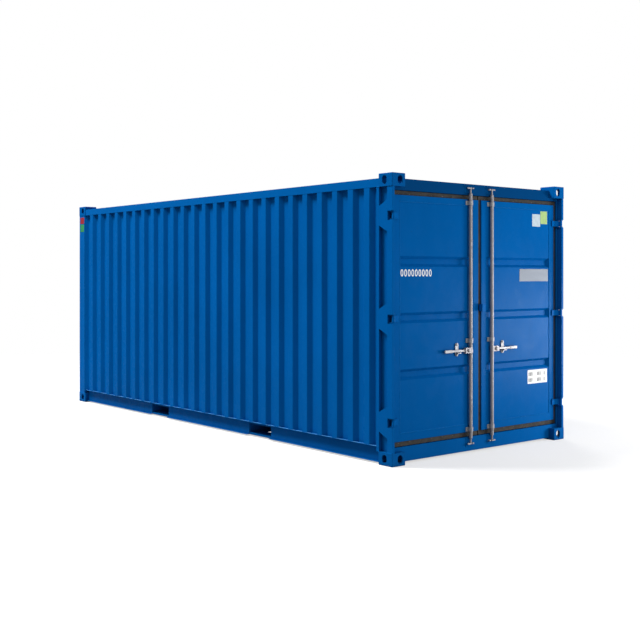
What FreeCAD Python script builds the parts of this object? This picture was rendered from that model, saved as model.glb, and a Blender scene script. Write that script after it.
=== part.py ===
"""Twenty-foot steel freight container with a two-leaf door end.

Frame: millimetres, +Z up, origin at the centre of the footprint on the ground.
The door end faces -Y, the length runs along +Y.  Left and right are named as
seen by a person who stands in front of the doors, so left is -X.
"""
import FreeCAD, Part
import math
import os

os.makedirs("parts", exist_ok=True)
V = FreeCAD.Vector

# ---------------------------------------------------------------- overall size
LENGTH = 6058.0
WIDTH = 2438.0
HEIGHT = 2591.0

# ------------------------------------------------------------- corner castings
CASTING_LENGTH = 178.0
CASTING_WIDTH = 162.0
CASTING_HEIGHT = 118.0
CASTING_FACE_WALL = 28.0
CASTING_SIDE_WALL = 12.0
CASTING_EDGE_RADIUS = 6.0
APERTURE_LENGTH = 124.0
APERTURE_WIDTH = 63.5
APERTURE_FROM_END = 102.5
APERTURE_FROM_SIDE = 89.5
SIDE_HOLE_WIDTH = 60.0
SIDE_HOLE_HEIGHT = 79.0
SIDE_HOLE_FROM_END = 101.0
END_HOLE_FROM_SIDE = 97.0

# ------------------------------------------------------------------- door posts
POST_PLATE = 6.0
POST_INSET = 4.0
LIP_WIDTH = 33.0
LIP_DEPTH = 70.0
POST_RECESS_END = 174.0
POST_DEPTH = 208.0
POST_RECESS_FLOOR = 37.0
POST_THICKNESS = 47.0

# ------------------------------------------------------------------ front posts
FRONT_POST_SIDE = 150.0
FRONT_POST_FACE = 130.0
FRONT_POST_THICKNESS = 45.0
FRONT_POST_CHAMFER = 30.0

# ------------------------------------------------------- corrugated steel walls
PITCH = 224.0
OUTER_FACE = 72.0
SLOPE_RUN = 41.0
WALL_DEPTH = 36.0
WALL_SHEET = 2.0
WALL_INSET = 7.0
WALL_END_LAP = 3.0

# ------------------------------------------------------------------------ rails
TOP_RAIL_HEIGHT = 75.0
TOP_RAIL_WIDTH = 60.0
TOP_RAIL_WALL = 4.0
TOP_RAIL_INSET = 6.0
RAIL_BOTTOM = 17.0
BOTTOM_RAIL_HEIGHT = 145.0
BOTTOM_RAIL_WEB_INSET = 50.0
BOTTOM_RAIL_WALL = 4.5
BOTTOM_RAIL_UPPER_FLANGE = 44.0
BOTTOM_RAIL_LOWER_FLANGE = 30.0

# ------------------------------------------------------------------------- roof
ROOF_SHEET = 2.0
ROOF_RIB_HEIGHT = 20.0
ROOF_RIB_PITCH = 209.0
ROOF_RIB_TOP = 68.0
ROOF_RIB_SLOPE = 24.0
ROOF_RIB_MARGIN = 160.0
ROOF_END_MARGIN = 260.0

# ---------------------------------------------------------------- floor and base
FLOOR_TOP = 166.0
FLOOR_THICKNESS = 28.0
FLOOR_CLEARANCE = 3.0
MEMBER_HEIGHT = 121.0
MEMBER_WIDTH = 45.0
MEMBER_PLATE = 4.0
MEMBER_SPACING = 300.0
POCKET_CENTRE = 1000.0
POCKET_WIDTH = 380.0
POCKET_PLATE = 6.0
POCKET_STRAP_HEIGHT = 22.0
POCKET_STRAP_DEPTH = 150.0
POCKET_WEB_TOP = 140.0

# --------------------------------------------------------------- doorway frame
DOOR_PLANE = 66.0
FRAME_BACK_CLEARANCE = 2.0
HEADER_DROP = 41.0
HEADER_HEIGHT = 104.0
FRAME_PLATE = 4.0
SILL_BOTTOM = 20.0
SILL_LIP_TOP = 153.0
SILL_RAMP_START = 58.0
SILL_RAMP_END = 84.0

# ------------------------------------------------------------------ door leaves
LEAF_ABOVE_SILL_LIP = 48.0
LEAF_BELOW_HEADER = 43.0
LEAF_GAP_HALF = 23.0
LEAF_HINGE_EDGE = 89.0
LEAF_THICKNESS = 50.0
STILE_WIDTH = 65.0
STILE_PLATE = 3.0
LEAF_TOP_RAIL = 52.0
LEAF_BOTTOM_RAIL = 69.0
PANEL_SETBACK = 3.0
PANEL_SHEET = 2.0
PANEL_BAND_PITCH = 508.0
PANEL_BAND_HEIGHT = 100.0
PANEL_BAND_MARGIN = 4.0
PANEL_BAND_SLOPE = 24.0
PANEL_BAND_DEPTH = 28.0
GASKET_SETBACK = 12.0
GASKET_DEPTH = 30.0
GASKET_CLEARANCE = 5.0
GASKET_JOINT = 0.5
GASKET_CENTRE_REACH = 12.0

# ----------------------------------------------------------------------- hinges
LOW_HINGE_Z = 383.0
TOP_HINGE_BELOW_HEADER = 231.0
PIN_FROM_SIDE = 31.0
PIN_FROM_END = 16.0
PIN_RADIUS = 8.0
KNUCKLE_RADIUS = 14.0
PIN_CLEARANCE = 1.0
NOTCH_HEIGHT = 80.0
NOTCH_WIDTH = 50.0
HINGE_LUG_INSET = 18.0
HINGE_LUG_FROM_END = 2.0
LUG_THICKNESS = 10.0
KNUCKLE_END_CLEARANCE = 2.0
BLADE_THICKNESS = 13.0
BLADE_CRANK_RUN = 20.0
BLADE_CRANK_DEPTH = 29.0
BLADE_CRANK_END = 18.0
BLADE_LAP = 35.0
HINGE_PLATE_INNER = 174.0
HINGE_PLATE_OUTER = 286.0

# -------------------------------------------------------------------- lock gear
ROD_X = 152.0
ROD_RADIUS = 17.0
ROD_STANDOFF = 21.0
ROD_BOTTOM = 86.0
ROD_BELOW_HEADER_TOP = 35.0
NECK_RADIUS = 9.0
NECK_LENGTH = 58.0
LOW_GUIDE_ABOVE_LEAF_BOTTOM = 26.0
MIDDLE_GUIDE_ABOVE_HANDLE = 91.0
TOP_GUIDE_BELOW_LEAF_TOP = 34.0
GUIDE_HEIGHT = 40.0
GUIDE_WIDTH = 96.0
GUIDE_WALL = 5.0
GUIDE_CLEARANCE = 1.0
CAM_HEIGHT = 12.0
CAM_REACH = 42.0
CAM_DEPTH = 14.0
KEEPER_WIDTH = 96.0
KEEPER_AWAY_FROM_LEAF = 30.0
KEEPER_TOWARDS_LEAF = 48.0
KEEPER_PLATE = 4.0
KEEPER_TAB_START = 20.0
KEEPER_TAB_END = 42.0
HANDLE_Z = 976.0
HUB_HEIGHT = 50.0
HUB_RADIUS = 20.0
CLEVIS_FORWARD = 6.0
CLEVIS_PLATE = 6.0
CLEVIS_ROOT = 24.0
CLEVIS_PAST_PIVOT = 42.0
PIVOT_OFFSET = 44.0
PIVOT_RADIUS = 7.0
PIVOT_HEAD = 3.0
PIVOT_CLEARANCE = 0.5
HANDLE_TIP = 362.0
HANDLE_HEIGHT = 18.0
HANDLE_THICKNESS = 10.0
HANDLE_SIDE_CLEARANCE = 2.0
HANDLE_BOSS = 15.0
GRIP_LENGTH = 104.0
GRIP_HEIGHT = 28.0
GRIP_THICKNESS = 16.0
GRIP_EDGE_RADIUS = 4.0
CATCH_FROM_ROD = 174.0
CATCH_WIDTH = 42.0
CATCH_HEIGHT = 124.0
CATCH_ABOVE_HANDLE = 12.0
CATCH_PLATE = 6.0
CATCH_SADDLE_THICKNESS = 8.0
CATCH_REACH = 42.0
CATCH_CLEARANCE = 6.0

# --------------------------------------------------------- fittings on the door
BLOCK_BOTTOM = 1342.0
BLOCK_TOP = 1409.0
BLOCK_WIDTH = 46.0
BLOCK_DEPTH = 44.0
PLATE_FROM_HINGE_EDGE = 88.0
PLATE_WIDTH = 450.0
PLATE_BOTTOM = 1624.0
PLATE_TOP = 1747.0
PLATE_THICKNESS = 1.5

# ------------------------------------------------------------ derived positions
HALF_W = WIDTH / 2
HALF_L = LENGTH / 2
POST_BASE = CASTING_HEIGHT
POST_HEAD = HEIGHT - CASTING_HEIGHT
RAIL_TOP = RAIL_BOTTOM + BOTTOM_RAIL_HEIGHT
TOP_RAIL_TOP = POST_HEAD + TOP_RAIL_HEIGHT
CASTING_INNER_X = HALF_W - CASTING_WIDTH
DOORWAY_X = HALF_W - POST_THICKNESS
LEAF_OUTER_X = HALF_W - LEAF_HINGE_EDGE
FRAME_DEPTH = CASTING_LENGTH - DOOR_PLANE - FRAME_BACK_CLEARANCE
HEADER_TOP = HEIGHT - HEADER_DROP
HEADER_BOTTOM = HEADER_TOP - HEADER_HEIGHT
LEAF_BOTTOM = SILL_LIP_TOP + LEAF_ABOVE_SILL_LIP
LEAF_TOP = HEADER_BOTTOM - LEAF_BELOW_HEADER
TOP_HINGE_Z = HEADER_BOTTOM - TOP_HINGE_BELOW_HEADER
HINGE_HEIGHTS = (LOW_HINGE_Z, (LOW_HINGE_Z + TOP_HINGE_Z) / 2, TOP_HINGE_Z)
NOTCH_DEPTH = LIP_DEPTH - POST_PLATE
PIN_X = HALF_W - PIN_FROM_SIDE
ROD_D = DOOR_PLANE - ROD_STANDOFF
ROD_TOP = HEADER_TOP - ROD_BELOW_HEADER_TOP
LOW_CAM_Z = ROD_BOTTOM + CAM_HEIGHT / 2
TOP_CAM_Z = ROD_TOP - CAM_HEIGHT / 2
CLEVIS_D = ROD_D - CLEVIS_FORWARD
PIVOT_X = ROD_X + PIVOT_OFFSET
GUIDE_HEIGHTS = (LEAF_BOTTOM + LOW_GUIDE_ABOVE_LEAF_BOTTOM, HANDLE_Z + MIDDLE_GUIDE_ABOVE_HANDLE,
                 LEAF_TOP - TOP_GUIDE_BELOW_LEAF_TOP)
BAND_MIDDLE = (LEAF_BOTTOM + LEAF_TOP) / 2
BAND_CENTRES = [BAND_MIDDLE + j * PANEL_BAND_PITCH for j in (-1, 0, 1)]


# ---------------------------------------------------------------------- helpers
def box(x0, x1, y0, y1, z0, z1):
    """Axis-aligned block between two opposite corners."""
    return Part.makeBox(x1 - x0, y1 - y0, z1 - z0, V(x0, y0, z0))


def door_y(depth):
    """Y of a plane that lies the given depth behind the door-end face."""
    return depth - HALF_L


def door_box(x0, x1, d0, d1, z0, z1):
    """Block placed by its depth behind the door-end face."""
    return box(x0, x1, door_y(d0), door_y(d1), z0, z1)


def prism_z(points, z0, z1):
    """Vertical prism over a closed outline of (x, y) points."""
    ring = [V(x, y, z0) for x, y in points]
    face = Part.Face(Part.makePolygon(ring + ring[:1]))
    return face.extrude(V(0, 0, z1 - z0))


def prism_x(points, x0, x1):
    """Prism along X over a closed outline of (y, z) points."""
    ring = [V(x0, y, z) for y, z in points]
    face = Part.Face(Part.makePolygon(ring + ring[:1]))
    return face.extrude(V(x1 - x0, 0, 0))


def rod(radius, start, direction, length):
    """Round bar."""
    return Part.makeCylinder(radius, length, start, direction)


def union(*shapes):
    """One solid from touching shapes."""
    return shapes[0].fuse(list(shapes[1:])).removeSplitter()


def mirror_x(shape):
    """The same shape on the other side of the middle plane."""
    return shape.mirror(V(0, 0, 0), V(1, 0, 0))


def mirror_y(shape):
    """The same shape at the other end of the length."""
    return shape.mirror(V(0, 0, 0), V(0, 1, 0))


def export(node, *shapes):
    """Write the solids of one named piece."""
    solids = [solid for shape in shapes for solid in shape.Solids]
    body = solids[0] if len(solids) == 1 else Part.makeCompound(solids)
    body.exportStep("parts/" + node + ".step")


def export_pair(name, shape):
    """Write a left-hand piece and its mirrored right-hand twin."""
    export(name + "_left", shape)
    export(name + "_right", mirror_x(shape))


def thicken(path, thickness):
    """Closed outline of a bent plate; the plate lies to the left of the path."""
    def normal(a, b):
        dx, dy = b[0] - a[0], b[1] - a[1]
        size = math.hypot(dx, dy)
        return -dy / size, dx / size

    shifted = []
    for i, point in enumerate(path):
        before = normal(path[max(i - 1, 0)], path[max(i, 1)])
        last = len(path) - 1
        after = normal(path[min(i, last - 1)], path[min(i + 1, last)])
        sx, sy = before[0] + after[0], before[1] + after[1]
        scale = 2 * thickness / (sx * sx + sy * sy)
        shifted.append((point[0] + sx * scale, point[1] + sy * scale))
    return list(path) + shifted[::-1]


# ------------------------------------------------------------- corner castings
def stadium(length, width, height, centre):
    """Slot-shaped tool: long along Y, cut along Z, standing on its centre."""
    half = (length - width) / 2
    x, y, z = centre
    body = box(x - width / 2, x + width / 2, y - half, y + half, z, z + height)
    ends = [rod(width / 2, V(x, y + s * half, z), V(0, 0, 1), height) for s in (-1, 1)]
    return union(body, *ends)


def casting(bottom, at_door):
    """Left-hand corner casting, hollow, with its top, side and end holes."""
    z0 = 0.0 if bottom else HEIGHT - CASTING_HEIGHT
    x0 = -HALF_W
    y0 = -HALF_L
    shell = box(x0, x0 + CASTING_WIDTH, y0, y0 + CASTING_LENGTH, z0, z0 + CASTING_HEIGHT)
    welded_z = z0 + CASTING_HEIGHT if bottom else z0
    free_edges = [edge for edge in shell.Edges if abs(edge.CenterOfMass.z - welded_z) > CASTING_EDGE_RADIUS]
    shell = shell.makeFillet(CASTING_EDGE_RADIUS, free_edges)
    cavity = box(
        x0 + CASTING_SIDE_WALL, x0 + CASTING_WIDTH - CASTING_SIDE_WALL,
        y0 + CASTING_SIDE_WALL, y0 + CASTING_LENGTH - CASTING_SIDE_WALL,
        z0 + (CASTING_FACE_WALL if bottom else CASTING_SIDE_WALL),
        z0 + CASTING_HEIGHT - (CASTING_SIDE_WALL if bottom else CASTING_FACE_WALL))
    slot_z = z0 if bottom else z0 + CASTING_HEIGHT - CASTING_FACE_WALL
    slot = stadium(APERTURE_LENGTH, APERTURE_WIDTH, CASTING_FACE_WALL,
                   (x0 + APERTURE_FROM_SIDE, y0 + APERTURE_FROM_END, slot_z))
    hole_z = z0 + CASTING_HEIGHT / 2
    side = upright_slot(V(x0, y0 + SIDE_HOLE_FROM_END, hole_z), V(1, 0, 0))
    end = upright_slot(V(x0 + END_HOLE_FROM_SIDE, y0, hole_z), V(0, 1, 0))
    body = shell.cut([cavity, slot, side, end])
    return body if at_door else mirror_y(body)


def upright_slot(start, direction):
    """Tall rounded hole through one side wall of a casting."""
    half = (SIDE_HOLE_HEIGHT - SIDE_HOLE_WIDTH) / 2
    radius = SIDE_HOLE_WIDTH / 2
    ends = [rod(radius, start + V(0, 0, s * half), direction, CASTING_SIDE_WALL) for s in (-1, 1)]
    across = V(abs(direction.y), abs(direction.x), 0)
    corner = start - across * radius - V(0, 0, half)
    size = across * SIDE_HOLE_WIDTH + direction * CASTING_SIDE_WALL
    middle = Part.makeBox(size.x, size.y, 2 * half, corner)
    return union(middle, *ends)


for level, is_bottom in (("bottom", True), ("top", False)):
    lefts = [casting(is_bottom, at_door) for at_door in (True, False)]
    export(level + "_corner_castings", *(lefts + [mirror_x(shape) for shape in lefts]))


# ------------------------------------------------------------------- door posts
def side_outline(points):
    """Outline given as (inset from the left side face, depth behind the door end)."""
    return [(-HALF_W + inset, door_y(depth)) for inset, depth in points]


def notch(z):
    """Space cut in the post corner for one hinge."""
    half = NOTCH_HEIGHT / 2
    return door_box(-HALF_W, -HALF_W + NOTCH_WIDTH, 0, NOTCH_DEPTH, z - half, z + half)


def door_post():
    """Rolled post: a hollow front lip, a web set back in the side and a hollow rear strip."""
    t = POST_PLATE
    step = LIP_DEPTH - t
    face = POST_INSET
    outline = side_outline([
        (face, face), (LIP_WIDTH, face), (LIP_WIDTH, step), (POST_THICKNESS, step),
        (POST_THICKNESS, POST_DEPTH), (face, POST_DEPTH), (face, POST_RECESS_END),
        (POST_RECESS_FLOOR, POST_RECESS_END), (POST_RECESS_FLOOR, LIP_DEPTH), (face, LIP_DEPTH)])
    lip_space = door_box(-HALF_W + face + t, -HALF_W + LIP_WIDTH - t, face + t, step, POST_BASE, POST_HEAD)
    rear_space = door_box(-HALF_W + face + t, -HALF_W + POST_THICKNESS - t,
                          POST_RECESS_END + t, POST_DEPTH - t, POST_BASE, POST_HEAD)
    notches = [notch(z) for z in HINGE_HEIGHTS]
    return prism_z(outline, POST_BASE, POST_HEAD).cut([lip_space, rear_space] + notches)


def hinge_plate(z):
    """Flush plate across the post's side recess behind one hinge."""
    inner = HINGE_PLATE_INNER / 2
    outer = HINGE_PLATE_OUTER / 2
    outline = [(door_y(LIP_DEPTH), z - outer), (door_y(POST_RECESS_END), z - inner),
               (door_y(POST_RECESS_END), z + inner), (door_y(LIP_DEPTH), z + outer)]
    return prism_x(outline, -HALF_W + POST_INSET, -HALF_W + POST_INSET + POST_PLATE)


def hinge_lugs(z):
    """Two lugs at the top and bottom of the notch and the pin between them."""
    half = NOTCH_HEIGHT / 2
    lugs = [door_box(-HALF_W + HINGE_LUG_INSET, -HALF_W + POST_THICKNESS,
                     HINGE_LUG_FROM_END, NOTCH_DEPTH, z + low, z + low + LUG_THICKNESS)
            for low in (-half, half - LUG_THICKNESS)]
    pin = rod(PIN_RADIUS, V(-PIN_X, door_y(PIN_FROM_END), z - half), V(0, 0, 1), NOTCH_HEIGHT)
    return union(lugs[0], lugs[1], pin)


export_pair("door_post", door_post())
export_pair("hinge_plates", Part.makeCompound([hinge_plate(z) for z in HINGE_HEIGHTS]))
export_pair("hinge_lugs", Part.makeCompound([hinge_lugs(z) for z in HINGE_HEIGHTS]))


# ------------------------------------------------------------------ front posts
def front_post():
    """Closed pressed post with a side leg and a face leg."""
    t = POST_PLATE
    face = POST_INSET
    width = FRONT_POST_FACE
    depth = FRONT_POST_SIDE
    thick = FRONT_POST_THICKNESS
    inner = thick + FRONT_POST_CHAMFER
    cut = t * math.tan(math.pi / 8)

    def outline(points):
        return [(-HALF_W + u, HALF_L - v) for u, v in points]

    near = face + t
    outer = outline([(face, face), (width, face), (width, thick), (inner, thick),
                     (thick, inner), (thick, depth), (face, depth)])
    space = outline([(near, near), (width - t, near), (width - t, thick - t), (inner - cut, thick - t),
                     (thick - t, inner - cut), (thick - t, depth - t), (near, depth - t)])
    shell = prism_z(outer, POST_BASE, POST_HEAD)
    return shell.cut(prism_z(space, POST_BASE, POST_HEAD))


export_pair("front_post", front_post())


# -------------------------------------------------------------- corrugated walls
def corrugated_path(start, end, start_inner):
    """Plan line of a wall: (distance along, depth) points, outer faces centred on zero."""
    half_face = OUTER_FACE / 2
    edge = half_face + SLOPE_RUN
    lap = WALL_END_LAP + SLOPE_RUN
    start_room = -start - (0 if start_inner else lap)
    end_room = end - lap
    count = int((min(start_room, end_room) - edge) // PITCH)
    path = []
    if start_inner:
        path.append((start, WALL_DEPTH))
    else:
        path += [(start, 0), (start + WALL_END_LAP, 0), (start + lap, WALL_DEPTH)]
    for j in range(-count, count + 1):
        middle = j * PITCH
        path += [(middle - edge, WALL_DEPTH), (middle - half_face, 0),
                 (middle + half_face, 0), (middle + edge, WALL_DEPTH)]
    path += [(end - lap, WALL_DEPTH), (end - WALL_END_LAP, 0), (end, 0)]
    return path


side_path = corrugated_path(door_y(POST_DEPTH), HALF_L - FRONT_POST_SIDE, True)
side_line = [(-HALF_W + WALL_INSET + depth, along) for along, depth in side_path]
side_wall = prism_z(thicken(side_line[::-1], WALL_SHEET), RAIL_TOP, POST_HEAD)
export_pair("side_wall", side_wall)

front_reach = HALF_W - FRONT_POST_FACE
front_path = corrugated_path(-front_reach, front_reach, False)
front_line = [(along, HALF_L - WALL_INSET - depth) for along, depth in front_path]
front_wall = prism_z(thicken(front_line[::-1], WALL_SHEET), RAIL_TOP, POST_HEAD)
export("front_wall", front_wall)


# ------------------------------------------------------------------------ rails
def tube_along_y(x0, x1, y0, y1, z0, z1, wall):
    """Rectangular tube along the length."""
    return box(x0, x1, y0, y1, z0, z1).cut(
        box(x0 + wall, x1 - wall, y0, y1, z0 + wall, z1 - wall))


def tube_along_x(x0, x1, y0, y1, z0, z1, wall):
    """Rectangular tube across the width."""
    return box(x0, x1, y0, y1, z0, z1).cut(
        box(x0, x1, y0 + wall, y1 - wall, z0 + wall, z1 - wall))


rail_y0 = -HALF_L + CASTING_LENGTH
rail_y1 = HALF_L - CASTING_LENGTH
top_x0 = -HALF_W + TOP_RAIL_INSET
export_pair("top_side_rail", tube_along_y(
    top_x0, top_x0 + TOP_RAIL_WIDTH, rail_y0, rail_y1, POST_HEAD, TOP_RAIL_TOP, TOP_RAIL_WALL))


def bottom_side_rail():
    """Channel open to the outside, with two windows for the fork pockets."""
    t = BOTTOM_RAIL_WALL
    web = -HALF_W + BOTTOM_RAIL_WEB_INSET
    profile_web = box(web, web + t, rail_y0, rail_y1, RAIL_BOTTOM, RAIL_TOP)
    lower = box(web - BOTTOM_RAIL_LOWER_FLANGE, web, rail_y0, rail_y1, RAIL_BOTTOM, RAIL_BOTTOM + t)
    upper = box(web - BOTTOM_RAIL_UPPER_FLANGE, web, door_y(POST_DEPTH),
                rail_y1, RAIL_TOP - t, RAIL_TOP)
    windows = [
        box(-HALF_W, web + t, y - POCKET_WIDTH / 2, y + POCKET_WIDTH / 2, RAIL_BOTTOM, POCKET_WEB_TOP)
        for y in (-POCKET_CENTRE, POCKET_CENTRE)]
    return union(profile_web, lower, upper).cut(windows)


export_pair("bottom_side_rail", bottom_side_rail())

export("front_top_rail", tube_along_x(
    -CASTING_INNER_X, CASTING_INNER_X, HALF_L - WALL_INSET - TOP_RAIL_WIDTH, HALF_L - WALL_INSET,
    POST_HEAD, TOP_RAIL_TOP, TOP_RAIL_WALL))


def front_bottom_rail():
    """Channel under the front wall, open to the outside."""
    t = BOTTOM_RAIL_WALL
    web = HALF_L - BOTTOM_RAIL_WEB_INSET
    reach = CASTING_INNER_X
    plate = box(-reach, reach, web - t, web, RAIL_BOTTOM, RAIL_TOP)
    lower = box(-reach, reach, web, web + BOTTOM_RAIL_LOWER_FLANGE, RAIL_BOTTOM, RAIL_BOTTOM + t)
    upper = box(-reach, reach, web, web + BOTTOM_RAIL_UPPER_FLANGE, RAIL_TOP - t, RAIL_TOP)
    return union(plate, lower, upper)


export("front_bottom_rail", front_bottom_rail())


# ------------------------------------------------------------------------- roof
def rib_tool(y, lift, spread):
    """Raised pan of one roof rib, grown or shrunk for its two faces."""
    half_top = ROOF_RIB_TOP / 2 + spread
    half_foot = half_top + ROOF_RIB_SLOPE
    z0 = TOP_RAIL_TOP + lift
    z1 = z0 + ROOF_RIB_HEIGHT
    outline = [(y - half_foot, z0), (y + half_foot, z0), (y + half_top, z1), (y - half_top, z1)]
    reach = HALF_W - ROOF_RIB_MARGIN + spread
    return prism_x(outline, -reach, reach)


def roof_panel():
    """Sheet with raised ribs across its width."""
    y0 = -HALF_L + CASTING_LENGTH
    y1 = HALF_L - CASTING_LENGTH
    half_w = HALF_W - TOP_RAIL_INSET
    main = box(-half_w, half_w, y0, y1, TOP_RAIL_TOP, TOP_RAIL_TOP + ROOF_SHEET)
    front = box(-CASTING_INNER_X, CASTING_INNER_X, y1, HALF_L - WALL_INSET,
                TOP_RAIL_TOP, TOP_RAIL_TOP + ROOF_SHEET)
    sheet = main.fuse(front)
    span = HALF_L - ROOF_END_MARGIN
    count = int(span // ROOF_RIB_PITCH)
    places = [j * ROOF_RIB_PITCH for j in range(-count, count + 1)]
    outsides = [rib_tool(y, ROOF_SHEET, 0) for y in places]
    insides = [rib_tool(y, 0, -ROOF_SHEET) for y in places]
    return sheet.fuse(outsides).cut(insides).removeSplitter()


export("roof_panel", roof_panel())


# --------------------------------------------------------------- floor and base
floor_bottom = FLOOR_TOP - FLOOR_THICKNESS
web_inner_x = HALF_W - BOTTOM_RAIL_WEB_INSET - BOTTOM_RAIL_WALL
floor_y0 = door_y(DOOR_PLANE + FRAME_DEPTH)
floor_y1 = HALF_L - BOTTOM_RAIL_WEB_INSET - BOTTOM_RAIL_WALL
floor_x = web_inner_x - FLOOR_CLEARANCE
deck = box(-floor_x, floor_x, floor_y0 + FLOOR_CLEARANCE, floor_y1 - FLOOR_CLEARANCE,
           floor_bottom, FLOOR_TOP)
corner = FRONT_POST_THICKNESS + FRONT_POST_CHAMFER + FLOOR_CLEARANCE
corners = [box(x0, x1, HALF_L - corner, HALF_L, floor_bottom, FLOOR_TOP)
           for x0, x1 in ((-HALF_W, corner - HALF_W), (HALF_W - corner, HALF_W))]
export("floor_deck", deck.cut(corners))


def cross_member(y):
    """Channel under the floor between the two side rails."""
    t = MEMBER_PLATE
    z0 = floor_bottom - MEMBER_HEIGHT
    web = box(-web_inner_x, web_inner_x, y, y + t, z0, floor_bottom)
    flanges = [box(-web_inner_x, web_inner_x, y, y + MEMBER_WIDTH, z, z + t)
               for z in (z0, floor_bottom - t)]
    return union(web, flanges[0], flanges[1])


pocket_half = POCKET_WIDTH / 2 + POCKET_PLATE
member_count = int((HALF_L - CASTING_LENGTH - MEMBER_WIDTH) // MEMBER_SPACING)
member_places = [j * MEMBER_SPACING for j in range(-member_count, member_count + 1)]
clear_places = [
    y for y in member_places
    if all(y + MEMBER_WIDTH < c - pocket_half or y > c + pocket_half
           for c in (-POCKET_CENTRE, POCKET_CENTRE))]
export("cross_members", *[cross_member(y) for y in clear_places])


pocket_plates = []
pocket_roofs = []
pocket_straps = []
for centre in (-POCKET_CENTRE, POCKET_CENTRE):
    near = centre - POCKET_WIDTH / 2
    far = centre + POCKET_WIDTH / 2
    pocket_plates += [box(-web_inner_x, web_inner_x, y, y + POCKET_PLATE, RAIL_BOTTOM, floor_bottom)
                      for y in (near - POCKET_PLATE, far)]
    pocket_roofs.append(box(-web_inner_x, web_inner_x, near, far, floor_bottom - POCKET_PLATE, floor_bottom))
    strap_top = RAIL_BOTTOM + POCKET_STRAP_HEIGHT
    strap = box(-web_inner_x, POCKET_STRAP_DEPTH - web_inner_x, near, far, RAIL_BOTTOM, strap_top)
    trough = box(POCKET_PLATE - web_inner_x, POCKET_STRAP_DEPTH - POCKET_PLATE - web_inner_x, near, far,
                 RAIL_BOTTOM, strap_top - POCKET_PLATE)
    pocket_straps += [strap.cut(trough), mirror_x(strap.cut(trough))]
export("fork_pocket_sides", *pocket_plates)
export("fork_pocket_roofs", *pocket_roofs)
export("fork_pocket_straps", *pocket_straps)


# ----------------------------------------------------------------- doorway frame
frame_end = DOOR_PLANE + FRAME_DEPTH


def door_header():
    """Hollow beam over the doorway; its lower edge reaches the posts."""
    beam = door_box(-CASTING_INNER_X, CASTING_INNER_X, DOOR_PLANE, frame_end, HEADER_BOTTOM, HEADER_TOP)
    skirt = door_box(-DOORWAY_X, DOORWAY_X, DOOR_PLANE, frame_end, HEADER_BOTTOM, POST_HEAD)
    t = FRAME_PLATE
    space = door_box(-CASTING_INNER_X, CASTING_INNER_X, DOOR_PLANE + t, frame_end - t,
                     HEADER_BOTTOM + t, HEADER_TOP - t)
    skirt_space = door_box(-DOORWAY_X, DOORWAY_X, DOOR_PLANE + t, frame_end - t,
                           HEADER_BOTTOM + t, POST_HEAD - t)
    return union(beam, skirt).cut([space, skirt_space])


def door_sill():
    """Beam under the doorway with a short ramp up to the floor."""
    t = FRAME_PLATE
    d0, d1, d2, d3 = 0, SILL_RAMP_START, SILL_RAMP_END, FRAME_DEPTH

    def outline(bottom, inset, top_drop):
        low = SILL_LIP_TOP - top_drop
        high = FLOOR_TOP - top_drop
        pairs = [(d0 + inset, bottom), (d3 - inset, bottom), (d3 - inset, high),
                 (d2, high), (d1, low), (d0 + inset, low)]
        return [(door_y(DOOR_PLANE + d), z) for d, z in pairs]

    wide = prism_x(outline(SILL_BOTTOM, 0, 0), -DOORWAY_X, DOORWAY_X)
    space = prism_x(outline(SILL_BOTTOM + t, t, t), -DOORWAY_X, DOORWAY_X)
    feet = [door_box(x0, x1, 0, CASTING_LENGTH, SILL_BOTTOM, POST_BASE)
            for x0, x1 in ((-DOORWAY_X, -CASTING_INNER_X), (CASTING_INNER_X, DOORWAY_X))]
    return wide.cut([space] + feet)


export("door_header", door_header())
export("door_sill", door_sill())


# ------------------------------------------------------------------- door leaves
# Each leaf is drawn on the left and mirrored; x runs from the hinge side (-) to 0.
leaf_x0 = -LEAF_OUTER_X
leaf_x1 = -LEAF_GAP_HALF
leaf_back = DOOR_PLANE + LEAF_THICKNESS


def stile(x0):
    """Upright tube of the leaf frame."""
    t = STILE_PLATE
    x1 = x0 + STILE_WIDTH
    return door_box(x0, x1, DOOR_PLANE, leaf_back, LEAF_BOTTOM, LEAF_TOP).cut(
        door_box(x0 + t, x1 - t, DOOR_PLANE + t, leaf_back - t, LEAF_BOTTOM, LEAF_TOP))


def leaf_rail(z0, z1):
    """Level tube of the leaf frame between the stiles."""
    return tube_along_x(leaf_x0 + STILE_WIDTH, leaf_x1 - STILE_WIDTH,
                        door_y(DOOR_PLANE), door_y(leaf_back), z0, z1, STILE_PLATE)


def band_tool(z, setback, shrink):
    """Recessed band pressed into a leaf panel, grown or shrunk for its two faces."""
    d0 = DOOR_PLANE + PANEL_SETBACK + setback
    half = PANEL_BAND_HEIGHT / 2 - shrink
    x0 = leaf_x0 + STILE_WIDTH + PANEL_BAND_MARGIN + shrink
    x1 = leaf_x1 - STILE_WIDTH - PANEL_BAND_MARGIN - shrink
    rings = []
    for depth, inset in ((0, 0), (PANEL_BAND_DEPTH, PANEL_BAND_SLOPE)):
        y = door_y(d0 + depth)
        corners = [V(x0 + inset, y, z - half + inset), V(x1 - inset, y, z - half + inset),
                   V(x1 - inset, y, z + half - inset), V(x0 + inset, y, z + half - inset)]
        rings.append(Part.makePolygon(corners + corners[:1]))
    return Part.makeLoft(rings, True, True)


def leaf_panel():
    """Sheet between the leaf frame, with three level recessed bands."""
    d0 = DOOR_PLANE + PANEL_SETBACK
    sheet = door_box(leaf_x0 + STILE_WIDTH, leaf_x1 - STILE_WIDTH, d0, d0 + PANEL_SHEET,
                     LEAF_BOTTOM + LEAF_BOTTOM_RAIL, LEAF_TOP - LEAF_TOP_RAIL)
    backs = [band_tool(z, PANEL_SHEET, 0) for z in BAND_CENTRES]
    fronts = [band_tool(z, 0, PANEL_SHEET) for z in BAND_CENTRES]
    return sheet.fuse(backs).cut(fronts).removeSplitter()


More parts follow.
